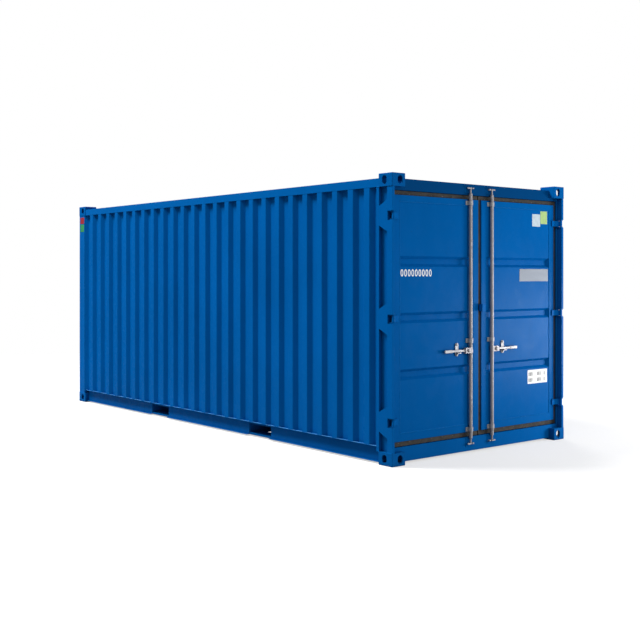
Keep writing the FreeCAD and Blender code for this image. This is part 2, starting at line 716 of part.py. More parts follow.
def gasket(centre_reach):
    """Four rubber strips round a leaf; the centre strip is left out at zero reach."""
    d0 = DOOR_PLANE + GASKET_SETBACK
    d1 = d0 + GASKET_DEPTH
    outer = -DOORWAY_X + GASKET_CLEARANCE
    low = SILL_LIP_TOP + GASKET_CLEARANCE
    high = HEADER_BOTTOM - GASKET_CLEARANCE
    strips = [door_box(outer, leaf_x0, d0, d1, low, high),
              door_box(leaf_x0 + GASKET_JOINT, leaf_x1, d0, d1, low, LEAF_BOTTOM),
              door_box(leaf_x0 + GASKET_JOINT, leaf_x1, d0, d1, LEAF_TOP, high)]
    if centre_reach:
        strips.append(door_box(leaf_x1 + GASKET_JOINT, leaf_x1 + GASKET_JOINT + centre_reach,
                               d0, d1, low, high))
    return Part.makeCompound(strips)


def hinge_blade(z):
    """Cranked blade from the pin to the face of the hinge-side stile."""
    half = NOTCH_HEIGHT / 2 - LUG_THICKNESS - KNUCKLE_END_CLEARANCE
    t = BLADE_THICKNESS
    face_x = leaf_x0
    crank_end = -PIN_X + BLADE_CRANK_RUN + BLADE_CRANK_END
    path = [(-PIN_X, door_y(PIN_FROM_END)),
            (-PIN_X + BLADE_CRANK_RUN, door_y(PIN_FROM_END + BLADE_CRANK_DEPTH)),
            (crank_end, door_y(DOOR_PLANE - t)),
            (face_x + BLADE_LAP, door_y(DOOR_PLANE - t))]
    arm = prism_z(thicken(path, t), z - half, z + half)
    centre = V(-PIN_X, door_y(PIN_FROM_END), z - half)
    knuckle = rod(KNUCKLE_RADIUS, centre, V(0, 0, 1), 2 * half)
    bore = rod(PIN_RADIUS + PIN_CLEARANCE, centre, V(0, 0, 1), 2 * half)
    return union(arm, knuckle).cut(bore)


def rod_guide(z):
    """Bracket that carries the lock rod on the leaf face."""
    half = GUIDE_HEIGHT / 2
    foot = door_box(-ROD_X - GUIDE_WIDTH / 2, -ROD_X + GUIDE_WIDTH / 2,
                    DOOR_PLANE - GUIDE_WALL, DOOR_PLANE, z - half, z + half)
    radius = ROD_RADIUS + GUIDE_CLEARANCE
    centre = V(-ROD_X, door_y(ROD_D), z - half)
    collar = rod(radius + GUIDE_WALL, centre, V(0, 0, 1), GUIDE_HEIGHT)
    cheeks = door_box(-ROD_X - radius - GUIDE_WALL, -ROD_X + radius + GUIDE_WALL,
                      ROD_D, DOOR_PLANE, z - half, z + half)
    bore = rod(radius, centre, V(0, 0, 1), GUIDE_HEIGHT)
    leaf_side = door_box(-ROD_X - GUIDE_WIDTH / 2, -ROD_X + GUIDE_WIDTH / 2,
                         DOOR_PLANE, leaf_back, z - half, z + half)
    return union(foot, collar, cheeks).cut([bore, leaf_side])


def handle_catch():
    """Round-ended plate with a saddle under the handle, open to the front and above."""
    middle = -ROD_X - CATCH_FROM_ROD
    radius = CATCH_WIDTH / 2
    x0, x1 = middle - radius, middle + radius
    d0 = DOOR_PLANE - CATCH_PLATE
    centre_z = HANDLE_Z + CATCH_ABOVE_HANDLE
    half = CATCH_HEIGHT / 2 - radius
    plate = door_box(x0, x1, d0, DOOR_PLANE, centre_z - half, centre_z + half)
    ends = [rod(radius, V(middle, door_y(d0), centre_z + s * half), V(0, 1, 0), CATCH_PLATE) for s in (-1, 1)]
    top = HANDLE_Z - HANDLE_HEIGHT / 2 - CATCH_CLEARANCE
    saddle = door_box(x0, x1, DOOR_PLANE - CATCH_REACH, DOOR_PLANE, top - CATCH_SADDLE_THICKNESS, top)
    return union(plate, ends[0], ends[1], saddle)


stiles = [stile(leaf_x0), stile(leaf_x1 - STILE_WIDTH)]
rails = [leaf_rail(LEAF_BOTTOM, LEAF_BOTTOM + LEAF_BOTTOM_RAIL),
         leaf_rail(LEAF_TOP - LEAF_TOP_RAIL, LEAF_TOP)]
export_pair("leaf_stiles", Part.makeCompound(stiles))
export_pair("leaf_rails", Part.makeCompound(rails))
export_pair("leaf_panel", leaf_panel())
export_pair("hinge_blades", Part.makeCompound([hinge_blade(z) for z in HINGE_HEIGHTS]))
export_pair("rod_guides", Part.makeCompound([rod_guide(z) for z in GUIDE_HEIGHTS]))
export_pair("handle_catch", handle_catch())
export("leaf_gasket_left", gasket(0))
centre_reach = LEAF_GAP_HALF + GASKET_CENTRE_REACH - GASKET_JOINT
export("leaf_gasket_right", mirror_x(gasket(centre_reach)))

block = door_box(-GASKET_CENTRE_REACH, BLOCK_WIDTH - GASKET_CENTRE_REACH,
                 DOOR_PLANE - BLOCK_DEPTH, DOOR_PLANE, BLOCK_BOTTOM, BLOCK_TOP)
export("overlap_block", block)
plate_x1 = LEAF_OUTER_X - PLATE_FROM_HINGE_EDGE
plate_back = DOOR_PLANE + PANEL_SETBACK
export("data_plate", door_box(plate_x1 - PLATE_WIDTH, plate_x1, plate_back - PLATE_THICKNESS, plate_back,
                              PLATE_BOTTOM, PLATE_TOP))


# --------------------------------------------------------------------- lock gear
def cam(z):
    """Flat cam at one end of the rod, pointing the same way as the handle."""
    return door_box(-ROD_X - CAM_REACH, -ROD_X + NECK_RADIUS, ROD_D - CAM_DEPTH / 2, ROD_D + CAM_DEPTH / 2,
                    z - CAM_HEIGHT / 2, z + CAM_HEIGHT / 2)


def clevis():
    """Hub on the rod with two cheeks and a pivot for the handle."""
    z0, z1 = HANDLE_Z - HUB_HEIGHT / 2, HANDLE_Z + HUB_HEIGHT / 2
    inner = HANDLE_THICKNESS / 2 + HANDLE_SIDE_CLEARANCE
    outer = inner + CLEVIS_PLATE
    end = -PIVOT_X - CLEVIS_PAST_PIVOT
    block = door_box(end, -ROD_X, CLEVIS_D - outer, CLEVIS_D + outer, z0, z1)
    slot = door_box(end, -ROD_X - CLEVIS_ROOT, CLEVIS_D - inner, CLEVIS_D + inner, z0, z1)
    hub = rod(HUB_RADIUS, V(-ROD_X, door_y(ROD_D), z0), V(0, 0, 1), HUB_HEIGHT)
    pivot = rod(PIVOT_RADIUS, V(-PIVOT_X, door_y(CLEVIS_D - outer - PIVOT_HEAD), HANDLE_Z), V(0, 1, 0),
                2 * (outer + PIVOT_HEAD))
    return union(hub, block.cut(slot), pivot)


def lock_rod():
    """Round rod with a thin neck and a cam at each end and a clevis that carries the handle."""
    up = V(0, 0, 1)
    length = ROD_TOP - ROD_BOTTOM
    neck = rod(NECK_RADIUS, V(-ROD_X, door_y(ROD_D), ROD_BOTTOM), up, length)
    bar = rod(ROD_RADIUS, V(-ROD_X, door_y(ROD_D), ROD_BOTTOM + NECK_LENGTH), up, length - 2 * NECK_LENGTH)
    return union(neck, bar, clevis(), cam(LOW_CAM_Z), cam(TOP_CAM_Z))


def handle():
    """Flat lever that turns in the rod's clevis and ends in a thicker grip."""
    half = HANDLE_THICKNESS / 2
    toward = V(0, 1, 0)
    tip = -ROD_X - HANDLE_TIP
    centre = V(-PIVOT_X, door_y(CLEVIS_D - half), HANDLE_Z)
    boss = rod(HANDLE_BOSS, centre, toward, HANDLE_THICKNESS)
    lever = door_box(tip + GRIP_EDGE_RADIUS, -PIVOT_X, CLEVIS_D - half, CLEVIS_D + half,
                     HANDLE_Z - HANDLE_HEIGHT / 2, HANDLE_Z + HANDLE_HEIGHT / 2)
    grip = door_box(tip, tip + GRIP_LENGTH, CLEVIS_D - GRIP_THICKNESS / 2, CLEVIS_D + GRIP_THICKNESS / 2,
                    HANDLE_Z - GRIP_HEIGHT / 2, HANDLE_Z + GRIP_HEIGHT / 2)
    grip = grip.makeFillet(GRIP_EDGE_RADIUS, grip.Edges)
    bore = rod(PIVOT_RADIUS + PIVOT_CLEARANCE, centre, toward, HANDLE_THICKNESS)
    return union(boss, lever, grip).cut(bore)


def keeper(cam_z, inward):
    """Plate on the doorway frame behind one cam, with a tab on the side away from the cam."""
    half = KEEPER_WIDTH / 2
    z0, z1 = sorted((cam_z - inward * KEEPER_AWAY_FROM_LEAF, cam_z + inward * KEEPER_TOWARDS_LEAF))
    plate = door_box(-ROD_X - half, -ROD_X + half, DOOR_PLANE - KEEPER_PLATE, DOOR_PLANE, z0, z1)
    tab = door_box(-ROD_X + KEEPER_TAB_START, -ROD_X + KEEPER_TAB_END, ROD_D - CAM_DEPTH / 2, DOOR_PLANE,
                   cam_z - CAM_HEIGHT / 2, cam_z + CAM_HEIGHT / 2)
    return union(plate, tab)


low_keeper = keeper(LOW_CAM_Z, 1)
high_keeper = keeper(TOP_CAM_Z, -1)
export("cam_keepers_bottom", low_keeper, mirror_x(low_keeper))
export("cam_keepers_top", high_keeper, mirror_x(high_keeper))
export_pair("lock_rod", lock_rod())
export_pair("handle", handle())
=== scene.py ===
import bpy
import bmesh
import math
from mathutils import Matrix, Vector


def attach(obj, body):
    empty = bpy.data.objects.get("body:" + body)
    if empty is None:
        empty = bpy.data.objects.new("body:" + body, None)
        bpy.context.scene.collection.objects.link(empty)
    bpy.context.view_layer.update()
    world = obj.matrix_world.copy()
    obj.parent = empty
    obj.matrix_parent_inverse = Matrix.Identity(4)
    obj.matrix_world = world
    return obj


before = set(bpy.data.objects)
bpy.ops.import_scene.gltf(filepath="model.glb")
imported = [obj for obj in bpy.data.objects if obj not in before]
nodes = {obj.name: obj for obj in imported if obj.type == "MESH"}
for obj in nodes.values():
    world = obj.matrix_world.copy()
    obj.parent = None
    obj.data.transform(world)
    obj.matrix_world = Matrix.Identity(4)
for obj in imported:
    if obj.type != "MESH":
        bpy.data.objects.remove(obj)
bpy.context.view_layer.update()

# Lengths are in metres. The doors face -Y, and "left" is at -X, as seen by a
# person who faces the doors.

# ------------------------------------------------------------------ CAD places
HALF_W = 1.219
HALF_L = 3.029
TOP = 2.591
DOOR_Y = -HALF_L + 0.066
PANEL_Y = DOOR_Y + 0.003
ROD_X = 0.152
CATCH_X = ROD_X + 0.174
PIVOT_X = 0.196
CLEVIS_Y = -HALF_L + 0.039
HANDLE_Z = 0.976
CATCH_Z = HANDLE_Z + 0.012
PIN_X = HALF_W - 0.031
PIN_Y = -HALF_L + 0.016
HINGE_HEIGHTS = (0.383, 1.299, 2.215)
LUG_HALF_HEIGHT = 0.040
GUIDE_HEIGHTS = (0.227, 1.067, 2.369)
LEAF_X0, LEAF_X1 = 0.023, 1.130
LEAF_Z0, LEAF_Z1 = 0.201, 2.403
KEEPER_SPANS = ((0.062, 0.140), (2.461, 2.539))
CAM_HEIGHTS = (0.092, 2.509)
CASTING_HEIGHT = 0.118
POST_FACE_X = HALF_W - 0.004
POST_FACE_Y = HALF_L - 0.004
RAIL_TOP_Z = 0.1618
SIDES = (("left", -1), ("right", 1))

TOWARD = (0, -1, 0)
ALONG_X = (1, 0, 0)
UPWARD = (0, 0, 1)

# ------------------------------------------------------------- fitting measures
GUIDE_RIVET = {"radius": 0.006, "height": 0.004}
GUIDE_RIVET_DX, GUIDE_RIVET_DZ = 0.036, 0.010
GUIDE_PLATE = 0.005
SEAL_RIVET = {"radius": 0.0035, "height": 0.002}
PLATE_RIVET = {"radius": 0.004, "height": 0.0025}
CATCH_BOLT = {"across": 0.017, "height": 0.009}
CATCH_BOLT_DZ = 0.046
CATCH_PLATE = 0.006
PIVOT_BOLT = {"across": 0.024, "height": 0.009}
CLEVIS_HALF_DEPTH = 0.016
PIN_HEAD = [(0.0105, 0), (0.0105, 0.003), (0.008, 0.0055)]
BEAD_SECTION = ((-0.5, 0.0), (-0.34, 0.26), (0.0, 0.38), (0.34, 0.26), (0.5, 0.0))
BEAD_STEP = 0.012
FOOT_BEAD, KEEPER_BEAD, SEAM_BEAD, PANEL_BEAD = 0.006, 0.007, 0.008, 0.012
SINK = 0.0005
POST_SINK = 0.0004
BLADE_WELD_INSET = 0.020
BLADE_WELD_HALF = 0.028
KEEPER_WELD_DX = 0.048
KEEPER_WELD_MARGIN = 0.004
TAB_NEAR, TAB_FAR = 0.0194, 0.0426
TAB_Y0, TAB_Y1 = -HALF_L + 0.0372, DOOR_Y - 0.0042
TAB_HALF_HEIGHT = 0.0068
TAB_EDGE = 0.0012
SEAL_Y = DOOR_Y + 0.012
SEAL_BESIDE, SEAL_BELOW, SEAL_ABOVE = 0.012, 0.014, 0.012
SEAL_RIVETS_UP = 15
SEAL_RIVETS_ACROSS = 8
SEAL_RIVET_MARGIN = 0.06
PANEL_SEAM_Y = DOOR_Y + 0.0028
PANEL_INSET_X, PANEL_INSET_LOW, PANEL_INSET_HIGH = 0.069, 0.073, 0.056
FOOT_WELD_INSET = 0.0096
FOOT_WELD_Y0, FOOT_WELD_Y1 = -HALF_L + 0.208, HALF_L - 0.178
BAR_PITCH = 0.0225
BAR_WIDTH = 0.014
BAR_HEIGHT = 0.036
FILM = 0.0006
INK = 0.0003
FILM_EDGE, INK_EDGE = 0.0002, 0.0001
PLATE_FACE_Y = PANEL_Y - 0.0015


# ------------------------------------------------------------------- materials
def shade(color, share):
    """The same color, darker or lighter by a share of one."""
    return tuple(c * share for c in color)


class Paint:
    """Adds linked shader nodes to one new material."""

    def __init__(self, name):
        self.material = bpy.data.materials.new(name)
        self.material.use_nodes = True
        self.tree = self.material.node_tree
        self.shader = self.tree.nodes["Principled BSDF"]
        coordinates = self.tree.nodes.new("ShaderNodeTexCoord")
        self.place = coordinates.outputs["Object"]
        self.facing = coordinates.outputs["Normal"]

    def node(self, kind, **values):
        n = self.tree.nodes.new(kind)
        for key, value in values.items():
            setattr(n, key, value)
        return n

    def link(self, a, b):
        self.tree.links.new(a, b)

    def scaled(self, scale):
        m = self.node("ShaderNodeMapping")
        m.inputs["Scale"].default_value = scale
        self.link(self.place, m.inputs["Vector"])
        return m.outputs["Vector"]

    def noise(self, scale, detail=4.0, rough=0.55, stretch=(1, 1, 1)):
        n = self.node("ShaderNodeTexNoise")
        n.inputs["Scale"].default_value = scale
        n.inputs["Detail"].default_value = detail
        n.inputs["Roughness"].default_value = rough
        self.link(self.scaled(stretch), n.inputs["Vector"])
        return n.outputs["Fac"]

    def cells(self, scale):
        """A flat random color for each crystal-like cell."""
        n = self.node("ShaderNodeTexVoronoi")
        n.inputs["Scale"].default_value = scale
        self.link(self.place, n.inputs["Vector"])
        return n.outputs["Color"]

    def span(self, value, a, b, low, high):
        """Maps a to b onto low to high, and holds the ends."""
        n = self.node("ShaderNodeMapRange")
        limits = {"From Min": a, "From Max": b, "To Min": low, "To Max": high}
        for key, v in limits.items():
            n.inputs[key].default_value = v
        self.link(value, n.inputs["Value"])
        return n.outputs["Result"]

    def mix(self, factor, a, b):
        """Blends color a into color b. Each input is a constant or a socket."""
        n = self.node("ShaderNodeMix", data_type="RGBA", blend_type="MIX")
        for key, v in (("Factor", factor), ("A", a), ("B", b)):
            if isinstance(v, tuple):
                n.inputs[key].default_value = (*v, 1)
            elif isinstance(v, (int, float)):
                n.inputs[key].default_value = v
            else:
                self.link(v, n.inputs[key])
        return n.outputs["Result"]

    def times(self, a, b):
        n = self.node("ShaderNodeMath", operation="MULTIPLY")
        self.link(a, n.inputs[0])
        self.link(b, n.inputs[1])
        return n.outputs[0]

    def part_of(self, vector, axis):
        n = self.node("ShaderNodeSeparateXYZ")
        self.link(vector, n.inputs[0])
        return n.outputs[axis]

    def crevice(self, distance):
        """One in open places, falling towards zero in tight corners."""
        n = self.node("ShaderNodeAmbientOcclusion", samples=6)
        n.inputs["Distance"].default_value = distance
        return n.outputs["AO"]

    def color(self, value):
        self.link(value, self.shader.inputs["Base Color"])

    def rough(self, value):
        self.link(value, self.shader.inputs["Roughness"])

    def bump(self, *layers, soft_edge=0.0):
        """Stacks bumps of (value, depth), over edges rounded by soft_edge."""
        normal = None
        if soft_edge:
            bevel = self.node("ShaderNodeBevel", samples=3)
            bevel.inputs["Radius"].default_value = soft_edge
            normal = bevel.outputs["Normal"]
        for value, depth in layers:
            n = self.node("ShaderNodeBump")
            n.inputs["Strength"].default_value = 1.0
            n.inputs["Distance"].default_value = depth
            self.link(value, n.inputs["Height"])
            if normal is not None:
                self.link(normal, n.inputs["Normal"])
            normal = n.outputs["Normal"]
        self.link(normal, self.shader.inputs["Normal"])

    def set(self, **values):
        """Sets constants straight on the shader's sockets."""
        for key, value in values.items():
            self.shader.inputs[key.replace("_", " ")].default_value = value
        return self.material


# Blue paint has almost no white shine, so that its red stays low.
BLUE_SHINE = {"Specular_IOR_Level": 0.016, "Specular_Tint": (0.25, 0.7, 1.0, 1.0)}
SPECK_BLUE = (0.010, 0.080, 0.240)
DUST_BLUE = (0.03, 0.13, 0.24)
# Deep blue painted as shade into tight corners and recesses.
CORNER_SHADE_BLUE = (0.0, 0.030, 0.110)


def blue_paint(name, base, roughness, grain_depth, grain_scale, door_side_shade=1.0):
    """Sprayed blue steel paint with fading, dull streaks, dust, orange peel and painted shade
    in its tight corners.

    A door-side share below one gives faces towards the doors that share of the color, as
    painted shade.
    """
    p = Paint(name)
    fade = p.span(p.noise(0.8, 3), 0.35, 0.65, 0, 1)
    tone = p.mix(fade, shade(base, 0.93), shade(base, 1.05))
    streak = p.span(p.noise(5.0, 3, 0.6, (1, 1, 0.12)), 0.52, 0.72, 0, 0.22)
    tone = p.mix(streak, tone, shade(base, 0.80))
    specks = p.span(p.noise(34.0, 2, 0.5), 0.70, 0.78, 0, 0.35)
    tone = p.mix(specks, tone, SPECK_BLUE)
    near_ground = p.span(p.part_of(p.place, "Z"), 0.0, 0.45, 0.05, 0.0)
    tone = p.mix(p.times(near_ground, p.noise(7.0, 5)), tone, DUST_BLUE)
    # Painted shade: the color darkens towards a deep blue in tight corners and recesses.
    corner = p.span(p.crevice(0.06), 0.25, 0.85, 0.50, 0.0)
    tone = p.mix(corner, tone, CORNER_SHADE_BLUE)
    # Painted shade: faces towards the doors are darkened to the door-side share of the color.
    if door_side_shade < 1.0:
        door_face_shade = p.span(p.part_of(p.facing, "Y"), -0.9, -0.5, 1.0, 0.0)
        tone = p.mix(door_face_shade, tone, shade(base, door_side_shade))
    p.color(tone)
    p.rough(p.span(p.noise(9.0, 4), 0.3, 0.7, roughness - 0.05, roughness + 0.08))
    p.bump((p.noise(1.6, 2), 0.004), (p.noise(grain_scale, 2), grain_depth), soft_edge=0.003)
    return p.set(**BLUE_SHINE)


def zinc_coat(name, tint, metal, rough):
    """Hot-dip zinc: faint crystal patches, dull blotches, fine grain and painted shade in its
    tight corners.
    """
    p = Paint(name)
    spangle = p.span(p.cells(90.0), 0.0, 1.0, 0, 1)
    tone = p.mix(spangle, shade(tint, 0.82), shade(tint, 1.10))
    blotch = p.span(p.noise(14.0, 4), 0.5, 0.75, 0, 0.5)
    tone = p.mix(blotch, tone, shade(tint, 0.55))
    # Painted shade: the color goes nearly black in tight corners.
    corner = p.span(p.crevice(0.02), 0.2, 0.9, 0.6, 0.0)
    tone = p.mix(corner, tone, (0.05, 0.045, 0.04))
    p.color(tone)
    p.rough(p.span(p.noise(22.0, 3), 0.3, 0.7, rough - 0.08, rough + 0.12))
    p.bump((p.noise(160.0, 2), 0.0004), soft_edge=0.0015)
    return p.set(Metallic=metal)


def rubber_seal():
    """Black door seal with a dusty bloom and fine grain."""
    p = Paint("seal_rubber")
    bloom = p.span(p.noise(12.0, 5), 0.35, 0.7, 0, 1)
    p.color(p.mix(bloom, (0.018, 0.016, 0.015), (0.042, 0.037, 0.033)))
    p.rough(p.span(p.noise(40.0, 3), 0.3, 0.7, 0.62, 0.85))
    p.bump((p.noise(300.0, 2), 0.0003), soft_edge=0.003)
    return p.set(Specular_IOR_Level=0.35)


def plywood():
    """Layered wood with long grain, joints between the boards and scuffs."""
    p = Paint("floor_plywood")
    grain = p.noise(26.0, 6, 0.65, (1, 0.07, 1))
    tone = p.mix(p.span(grain, 0.3, 0.7, 0, 1), (0.16, 0.085, 0.040), (0.34, 0.20, 0.10))
    boards = p.node("ShaderNodeTexBrick", offset=0.0)
    layout = {"Scale": 1.0, "Brick Width": 1.16, "Row Height": 2.42, "Mortar Size": 0.004}
    for key, v in layout.items():
        boards.inputs[key].default_value = v
    p.link(p.place, boards.inputs["Vector"])
    joints = boards.outputs["Fac"]
    tone = p.mix(joints, tone, (0.02, 0.014, 0.010))
    scuff = p.span(p.noise(3.0, 6, 0.7), 0.5, 0.7, 0, 0.5)
    p.color(p.mix(scuff, tone, (0.09, 0.065, 0.045)))
    p.rough(p.span(grain, 0.3, 0.7, 0.5, 0.75))
    p.bump((grain, 0.0008), (p.span(joints, 0, 1, 1, 0), 0.002))
    return p.set(Specular_IOR_Level=0.3)


def brushed_plate(name, tint):
    """Rolled aluminium plate with level brush lines."""
    p = Paint(name)
    lines = p.noise(120.0, 3, 0.6, (0.03, 1, 1))
    p.color(p.mix(p.span(lines, 0.3, 0.7, 0, 1), shade(tint, 0.85), tint))
    p.rough(p.span(lines, 0.3, 0.7, 0.50, 0.64))
    p.bump((lines, 0.0002), soft_edge=0.001)
    return p.set(Metallic=0.35)


def vinyl(name, tint, soil):
    """Plain colored film with slight soiling and a faint ripple."""
    p = Paint(name)
    spots = p.span(p.noise(28.0, 5), 0.45, 0.75, 0, 0.5)
    p.color(p.mix(spots, tint, soil))
    p.rough(p.span(p.noise(18.0, 3), 0.3, 0.7, 0.35, 0.55))
    p.bump((p.noise(45.0, 2), 0.0004), soft_edge=0.0006)
    return p.set(Specular_IOR_Level=0.4)


def weld_bead(name, low, high):
    """Painted weld with its scaly ripple."""
    p = Paint(name)
    ripple = p.noise(150.0, 2)
    p.color(p.mix(p.span(ripple, 0.35, 0.65, 0, 1), low, high))
    p.rough(p.span(p.noise(30.0, 3), 0.3, 0.7, 0.35, 0.55))
    p.bump((ripple, 0.003))
    return p.set(**BLUE_SHINE)


SPRAYED = {"grain_depth": 0.0004, "grain_scale": 150.0}
CAST = {"grain_depth": 0.0016, "grain_scale": 70.0}
BLUE = (0.0004, 0.112, 0.400)
paint = blue_paint("container_paint", BLUE, 0.25, **SPRAYED)
cast_paint = blue_paint("casting_paint", shade(BLUE, 0.92), 0.42, **CAST)
# A lighter copy of the paint, as a painted highlight on the hinge blades, pin heads and
# overlap block.
lit_hinge_paint = blue_paint("lit_hinge_paint", shade(BLUE, 1.15), 0.28, **SPRAYED)
# Header and top cam keeper paint: faces towards the doors at half the color, as painted
# shade.
shaded_header_paint = blue_paint("shaded_header_paint", BLUE, 0.40, **SPRAYED, door_side_shade=0.5)
zinc = zinc_coat("galvanised_steel", (0.40, 0.38, 0.40), 0.45, 0.50)
dull_zinc = zinc_coat("dull_zinc", (0.20, 0.19, 0.19), 0.4, 0.5)
bright_zinc = zinc_coat("bright_zinc", (0.44, 0.44, 0.46), 0.4, 0.50)
rubber = rubber_seal()
wood = plywood()
plate = brushed_plate("plate_metal", (0.22, 0.25, 0.30))
# The weld's lighter color is a painted highlight along the bead; its ripple between the two
# colors is the weld's own.
weld = weld_bead("weld_paint_with_highlight", (0.0005, 0.098, 0.35), (0.001, 0.140, 0.46))
# Bright weld color, as a painted highlight along the bottom rail's top edge.
highlight_weld = weld_bead("highlight_weld", (0.06, 0.24, 0.50), (0.12, 0.34, 0.62))
white_film = vinyl("white_film", (0.92, 0.93, 0.93), (0.74, 0.75, 0.75))
pale_film = vinyl("pale_film", (0.55, 0.66, 0.74), (0.34, 0.42, 0.48))
green_film = vinyl("green_film", (0.42, 0.62, 0.22), (0.26, 0.40, 0.16))
dark_ink = vinyl("dark_ink", (0.05, 0.055, 0.06), (0.10, 0.11, 0.12))
red_film = vinyl("red_film", (0.36, 0.018, 0.030), (0.20, 0.020, 0.030))
leaf_green_film = vinyl("leaf_green_film", (0.030, 0.30, 0.10), (0.02, 0.17, 0.07))

# The first row whose word starts the node's name gives the material.
COATS = (
    ("leaf_gasket", rubber), ("handle_", bright_zinc), ("rod_guides", bright_zinc),
    ("lock_rod", zinc), ("hinge_blades", lit_hinge_paint), ("overlap_block", lit_hinge_paint),
    ("door_header", shaded_header_paint), ("cam_keepers_top", shaded_header_paint),
    ("data_plate", plate), ("floor_deck", wood),
    ("top_corner_castings", cast_paint), ("bottom_corner_castings", cast_paint),
    ("", paint),
)
for name, obj in nodes.items():
    obj.data.materials.clear()
    obj.data.materials.append(next(m for word, m in COATS if name.startswith(word)))


# ---------------------------------------------------------------- mesh helpers
def piece(name, bm, m, body):
    """Turns a bmesh into a named object that rides on a body."""
    mesh = bpy.data.meshes.new(name)
    bm.to_mesh(mesh)
    bm.free()
    o = bpy.data.objects.new(name, mesh)
    bpy.context.scene.collection.objects.link(o)
    mesh.materials.append(m)
    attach(o, body)
    return o


def add_block(bm, low, high, edge):
    """Block with rounded edges."""
    size = [b - a for a, b in zip(low, high)]
    middle = [(a + b) / 2 for a, b in zip(low, high)]
    place = Matrix.Translation(middle) @ Matrix.Diagonal((*size, 1))
    made = bmesh.ops.create_cube(bm, size=1.0, matrix=place)
    edges = list({e for v in made["verts"] for e in v.link_edges})
    offset = min(edge, min(size) * 0.45)
    bmesh.ops.bevel(bm, geom=edges, offset=offset, segments=2, affect="EDGES")


def add_turned(bm, profile, centre, axis, steps=20):
    """Turned shape: (radius, height) points swept round an axis."""
    turn = Vector(UPWARD).rotation_difference(Vector(axis)).to_matrix().to_4x4()
    place = Matrix.Translation(centre) @ turn
    rings = []
    for radius, height in profile:
        ring = []
        for i in range(steps):
            a = 2 * math.pi * i / steps
            spot = Vector((radius * math.cos(a), radius * math.sin(a), height))
            ring.append(bm.verts.new(place @ spot))
        rings.append(ring)
    for a, b in zip(rings, rings[1:]):
        for i in range(steps):
            j = (i + 1) % steps
            bm.faces.new((a[i], a[j], b[j], b[i]))
    bm.faces.new(rings[0][::-1])
    bm.faces.new(rings[-1])


def add_hex(bm, centre, axis, across, height):
    """Hexagon bolt head on a washer, with a chamfered crown."""
    r = across / math.sqrt(3)
    washer = [(r * 1.35, 0), (r * 1.35, height * 0.18), (r * 1.28, height * 0.24)]
    add_turned(bm, washer, centre, axis, 24)
    start = Vector(centre) + Vector(axis) * height * 0.22
    add_turned(bm, [(r, 0), (r, height * 0.62), (r * 0.84, height * 0.78)], start, axis, 6)


def add_dome(bm, centre, axis, radius, height):
    """Low round rivet head."""
    profile = [(radius, 0), (radius * 0.92, height * 0.5),
               (radius * 0.62, height * 0.86), (radius * 0.2, height)]
    add_turned(bm, profile, centre, axis, 14)


def add_bead(bm, start, end, width, across, up):
    """Weld bead: a low rounded ridge with an uneven edge, laid from start to end."""
    start, end, across, up = Vector(start), Vector(end), Vector(across), Vector(up)
    length = (end - start).length
    steps = max(4, int(length / BEAD_STEP))
    rings = []
    for i in range(steps + 1):
        ripple = 1 + 0.10 * math.sin(i * 2.1) + 0.05 * math.sin(i * 0.7)
        base = start.lerp(end, i / steps)
        rings.append([
            bm.verts.new(base + across * (a * width * ripple) + up * (b * width * ripple))
            for a, b in BEAD_SECTION])
    for a, b in zip(rings, rings[1:]):
        for i in range(len(BEAD_SECTION) - 1):
            bm.faces.new((a[i], a[i + 1], b[i + 1], b[i]))


def smooth(o):
    """Smooth faces, with edges over 35 degrees kept sharp."""
    for f in o.data.polygons:
        f.use_smooth = True
    o.data.set_sharp_from_angle(angle=math.radians(35))


